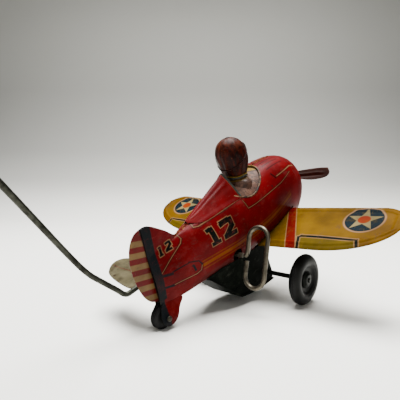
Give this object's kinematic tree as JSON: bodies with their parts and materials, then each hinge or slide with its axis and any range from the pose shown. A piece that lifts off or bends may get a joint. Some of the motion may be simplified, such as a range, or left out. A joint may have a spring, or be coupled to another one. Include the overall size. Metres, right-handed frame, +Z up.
{
  "type": "toy airplane",
  "caption": "Clockwork tin toy aeroplane with a low wing, seated pilot, side winding key, rubber wheels and a bent steel roll-over arm at the tail.",
  "frame": {"origin": "centre of the bounding box in X and Y, on the floor", "axes": "+X to starboard, +Y towards the nose, +Z up; the body is pitched 20 degrees nose-up on its three wheels"},
  "size_m": [0.1486, 0.1838, 0.0859],
  "materials": {
    "red_tin": "semi-gloss lithographed tinplate, scuffed",
    "yellow_tin": "semi-gloss lithographed tinplate, scuffed",
    "rudder_tin": "striped lithographed tinplate, chipped",
    "cream_tin": "matt lithographed tinplate, stained",
    "pilot_tin": "lithographed tinplate",
    "scarf_tin": "lithographed tinplate",
    "black_steel": "satin black enamel",
    "black_rubber": "moulded rubber",
    "key_steel": "bright wire, dulled",
    "arm_steel": "dark oiled wire",
    "pin_steel": "tarnished steel",
    "plate_steel": "plain stamped steel",
    "gear_brass": "plain cut brass",
    "spring_steel": "blued spring steel",
    "propeller_tin": "dark brown enamel on pressed tin"
  },
  "bodies": {
    "airframe": {"fuselage_starboard": "red_tin", "fuselage_port": "red_tin", "nose_cap": "red_tin", "headrest_fairing": "red_tin", "rudder": "rudder_tin", "wing": "yellow_tin", "tailplane_port": "cream_tin", "tail_wheel_pin": "pin_steel", "motor_housing": "black_steel", "motor_plate_starboard": "plate_steel", "motor_plate_port": "plate_steel", "motor_pillar_top": "plate_steel", "motor_pillar_bottom": "plate_steel", "motor_pillar_rear": "plate_steel", "mainspring": "spring_steel", "shaft_bearing_front": "plate_steel", "shaft_bearing_tail": "plate_steel", "pilot_head": "pilot_tin", "pilot_torso": "scarf_tin", "propeller_pin": "pin_steel"},
    "drive_wheels": {"wheel_starboard": "black_rubber", "wheel_cap_starboard": "black_steel", "wheel_port": "black_rubber", "wheel_cap_port": "black_steel", "front_axle": "black_steel", "axle_gear": "gear_brass"},
    "tail_roller": {"tail_wheel": "black_rubber"},
    "great_wheel": {"great_gear": "gear_brass"},
    "pawl_lever": {"pawl": "gear_brass"},
    "winder": {"winding_arbor": "plate_steel", "winding_key": "key_steel", "ratchet_wheel": "gear_brass"},
    "intermediate": {"intermediate_arbor": "gear_brass"},
    "idler": {"idler_gear": "gear_brass"},
    "crown": {"crown_gear": "gear_brass"},
    "arm": {"roll_over_arm": "arm_steel"},
    "airscrew": {"propeller": "propeller_tin"}
  },
  "joints": [
    {"name": "arm_turn", "type": "hinge", "parent": "airframe", "child": "arm", "pos_m": [-0.0022, -0.02415, 0.02191], "axis": [0, 0.9397, 0.342], "continuous": true},
    {"name": "great_wheel_turn", "type": "hinge", "parent": "airframe", "child": "great_wheel", "pos_m": [0.0026, 0.02302, 0.02769], "axis": [1, 0, 0], "continuous": true},
    {"name": "crown_turn", "type": "hinge", "parent": "airframe", "child": "crown", "pos_m": [0.0013, 0.02725, 0.04061], "axis": [1, 0, 0], "continuous": true},
    {"name": "intermediate_turn", "type": "hinge", "parent": "airframe", "child": "intermediate", "pos_m": [0.0035, 0.03209, 0.01755], "axis": [1, 0, 0], "continuous": true},
    {"name": "idler_turn", "type": "hinge", "parent": "airframe", "child": "idler", "pos_m": [0.0046, 0.04648, 0.01705], "axis": [1, 0, 0], "continuous": true},
    {"name": "axle_turn", "type": "hinge", "parent": "airframe", "child": "drive_wheels", "pos_m": [0, 0.05249, 0.01309], "axis": [1, 0, 0], "continuous": true},
    {"name": "key_turn", "type": "hinge", "parent": "airframe", "child": "winder", "pos_m": [0.01, 0.02302, 0.02769], "axis": [1, 0, 0], "continuous": true},
    {"name": "pawl_swing", "type": "hinge", "parent": "great_wheel", "child": "pawl_lever", "pos_m": [0.0036, 0.01805, 0.02205], "axis": [1, 0, 0], "range_deg": [0, 10]},
    {"name": "tail_wheel_turn", "type": "hinge", "parent": "airframe", "child": "tail_roller", "pos_m": [0, -0.01722, 0.00549], "axis": [1, 0, 0], "continuous": true},
    {"name": "propeller_turn", "type": "hinge", "parent": "airframe", "child": "airscrew", "pos_m": [0, 0.08868, 0.06627], "axis": [0, 0.9397, 0.342], "continuous": true}
  ],
  "couplings": [
    {"joint": "crown_turn", "follows": "arm_turn", "ratio": 0.33333},
    {"joint": "great_wheel_turn", "follows": "arm_turn", "ratio": -0.11111},
    {"joint": "intermediate_turn", "follows": "arm_turn", "ratio": 0.33333},
    {"joint": "idler_turn", "follows": "arm_turn", "ratio": -0.66667},
    {"joint": "axle_turn", "follows": "arm_turn", "ratio": 1.3333}
  ]
}
